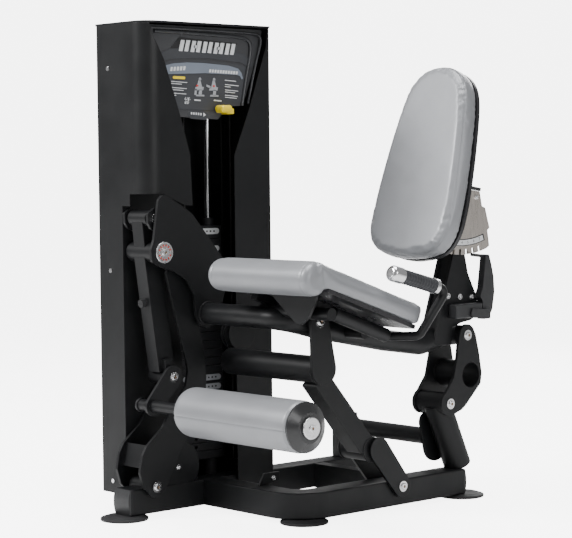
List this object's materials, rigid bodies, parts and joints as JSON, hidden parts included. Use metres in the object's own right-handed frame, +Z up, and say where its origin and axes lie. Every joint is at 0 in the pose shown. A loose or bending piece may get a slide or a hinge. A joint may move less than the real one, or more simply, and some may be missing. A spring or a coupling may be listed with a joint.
{
  "type": "leg extension machine",
  "caption": "Seated leg extension gym machine: weight tower, rocking seat on links, round shin roller, tilting back pad.",
  "frame": {"origin": "bottom centre of the bounding box, on the floor", "axes": "+Z up; the user faces -Y; +X runs from the weight tower to the seat"},
  "size_m": [0.921, 1.1554, 1.45],
  "materials": {
    "frame": "satin powder coat",
    "shroud": "satin powder coat",
    "rubber": "matte",
    "cap_plastic": "fine grain",
    "bolt": "polished",
    "rod": "polished",
    "stack": "black paint",
    "placard": "fine grain",
    "sheet": "printed sheet",
    "knob": "moulded",
    "pulley": "moulded",
    "cable": "nylon coated",
    "pin": "brushed",
    "vinyl": "fine grain vinyl",
    "board": "painted board",
    "core": "moulded",
    "disc": "satin",
    "grip": "textured",
    "stainless": "brushed",
    "strip": "printed"
  },
  "bodies": {
    "base": {"base_left_rail": "frame", "base_sweep_rail": "frame", "base_cross_rails": "frame", "base_rail_caps": "cap_plastic", "base_feet": "rubber", "rear_post": "frame", "stabiliser": "frame", "base_brackets": "frame", "frame_fasteners": "bolt", "tower_shroud": "shroud", "tower_top_cap": "shroud", "tower_frame": "frame", "placard_panel": "placard", "placard_sheets": "sheet", "guide_rods": "rod", "stack_bumpers": "rubber", "stack_plates_resting": "stack", "lift_cable_return": "cable"},
    "lifted_weights": {"stack_plates_lifted": "stack", "stack_head_plate": "stack", "stack_stem": "pin", "lift_cable_run": "cable"},
    "selector": {"selector_pin": "pin"},
    "add_on": {"add_on_weight": "stack", "add_on_knob": "knob"},
    "pulley_a": {"top_pulley_front": "pulley"},
    "pulley_b": {"top_pulley_rear": "pulley"},
    "pulley_c": {"mid_pulley": "pulley"},
    "boomerang": {"boomerang_link": "frame", "boomerang_bolts": "bolt"},
    "front_link": {"front_link_plates": "frame", "front_link_frame": "frame", "front_link_bolts": "bolt"},
    "rear_link": {"rear_link": "frame", "rear_link_bolts": "bolt"},
    "carriage": {"knee_plate": "frame", "knee_pivot": "disc", "carriage_beam": "frame", "seat_frame": "frame", "seat_board": "board", "seat_pad": "vinyl", "handlebar": "frame", "hand_grip": "grip", "grip_ends": "bolt", "back_post": "frame", "post_fasteners": "cap_plastic"},
    "lever": {"release_lever": "cap_plastic"},
    "backrest": {"back_sectors": "stainless", "sector_trim": "strip", "back_bolts": "bolt", "back_board": "board", "back_pad": "vinyl"},
    "arm": {"exercise_arm": "frame", "arm_bumper": "rubber"},
    "roller_arm": {"roller_link": "frame", "roller_link_bolts": "bolt", "roller_end_disc": "disc"},
    "roller": {"roller_pad": "vinyl", "roller_core": "core", "roller_end_cap": "cap_plastic"}
  },
  "joints": [
    {"name": "stack_lift", "type": "slide", "parent": "base", "child": "lifted_weights", "axis": [0, 0, 1], "range_m": [0, 0.26], "deforming": ["lift_cable_run"]},
    {"name": "front_link_swing", "type": "hinge", "parent": "base", "child": "front_link", "pos_m": [0.1435, 0.1699, 0.0716], "axis": [-1, 0, 0], "range_deg": [0, 3.73]},
    {"name": "carriage_tilt", "type": "hinge", "parent": "front_link", "child": "carriage", "pos_m": [0.1435, -0.1595, 0.5813], "axis": [1, 0, 0], "range_deg": [0, 0.581]},
    {"name": "rear_link_swing", "type": "hinge", "parent": "base", "child": "rear_link", "pos_m": [0.1315, 0.3768, 0.2987], "axis": [-1, 0, 0], "range_deg": [0, 8.28]},
    {"name": "boomerang_swing", "type": "hinge", "parent": "base", "child": "boomerang", "pos_m": [-0.2735, -0.438, 0.094], "axis": [-1, 0, 0], "range_deg": [0, 12.21]},
    {"name": "knee_extension", "type": "hinge", "parent": "carriage", "child": "arm", "pos_m": [-0.2735, -0.4152, 0.7776], "axis": [-1, 0, 0], "range_deg": [0, 75.75]},
    {"name": "roller_link_swing", "type": "hinge", "parent": "arm", "child": "roller_arm", "pos_m": [-0.2255, -0.3622, 0.4095], "axis": [-1, 0, 0], "range_deg": [0, 35]},
    {"name": "roller_spin", "type": "hinge", "parent": "roller_arm", "child": "roller", "pos_m": [0.1565, -0.435, 0.329], "axis": [1, 0, 0], "continuous": true},
    {"name": "back_pad_adjust", "type": "hinge", "parent": "carriage", "child": "backrest", "pos_m": [0.1395, 0.456, 1.087], "axis": [1, 0, 0], "range_deg": [-10, 20]},
    {"name": "release_lever_pull", "type": "hinge", "parent": "carriage", "child": "lever", "pos_m": [0.1895, 0.466, 0.572], "axis": [-1, 0, 0], "range_deg": [0, 10], "stiffness_Nm_per_rad": 4, "springref_deg": -5.73},
    {"name": "selector_pin_pull", "type": "slide", "parent": "lifted_weights", "child": "selector", "axis": [1, 0, 0], "range_m": [0, 0.06]},
    {"name": "add_on_slide", "type": "slide", "parent": "base", "child": "add_on", "axis": [0, 0, 1], "range_m": [-0.27, 0]},
    {"name": "top_pulley_front_spin", "type": "hinge", "parent": "base", "child": "pulley_a", "pos_m": [-0.3865, -0.135, 1.34], "axis": [1, 0, 0], "continuous": true},
    {"name": "top_pulley_rear_spin", "type": "hinge", "parent": "base", "child": "pulley_b", "pos_m": [-0.3865, -0.04, 1.34], "axis": [1, 0, 0], "continuous": true},
    {"name": "mid_pulley_spin", "type": "hinge", "parent": "base", "child": "pulley_c", "pos_m": [-0.2775, -0.075, 0.518], "axis": [1, 0, 0], "continuous": true}
  ],
  "couplings": [
    {"joint": "knee_extension", "follows": "stack_lift", "rad_per_m": 5.0346},
    {"joint": "front_link_swing", "follows": "stack_lift", "rad_per_m": 0.24569},
    {"joint": "carriage_tilt", "follows": "stack_lift", "rad_per_m": 0.038263},
    {"joint": "rear_link_swing", "follows": "stack_lift", "rad_per_m": 0.54474},
    {"joint": "boomerang_swing", "follows": "stack_lift", "rad_per_m": 0.80352}
  ]
}
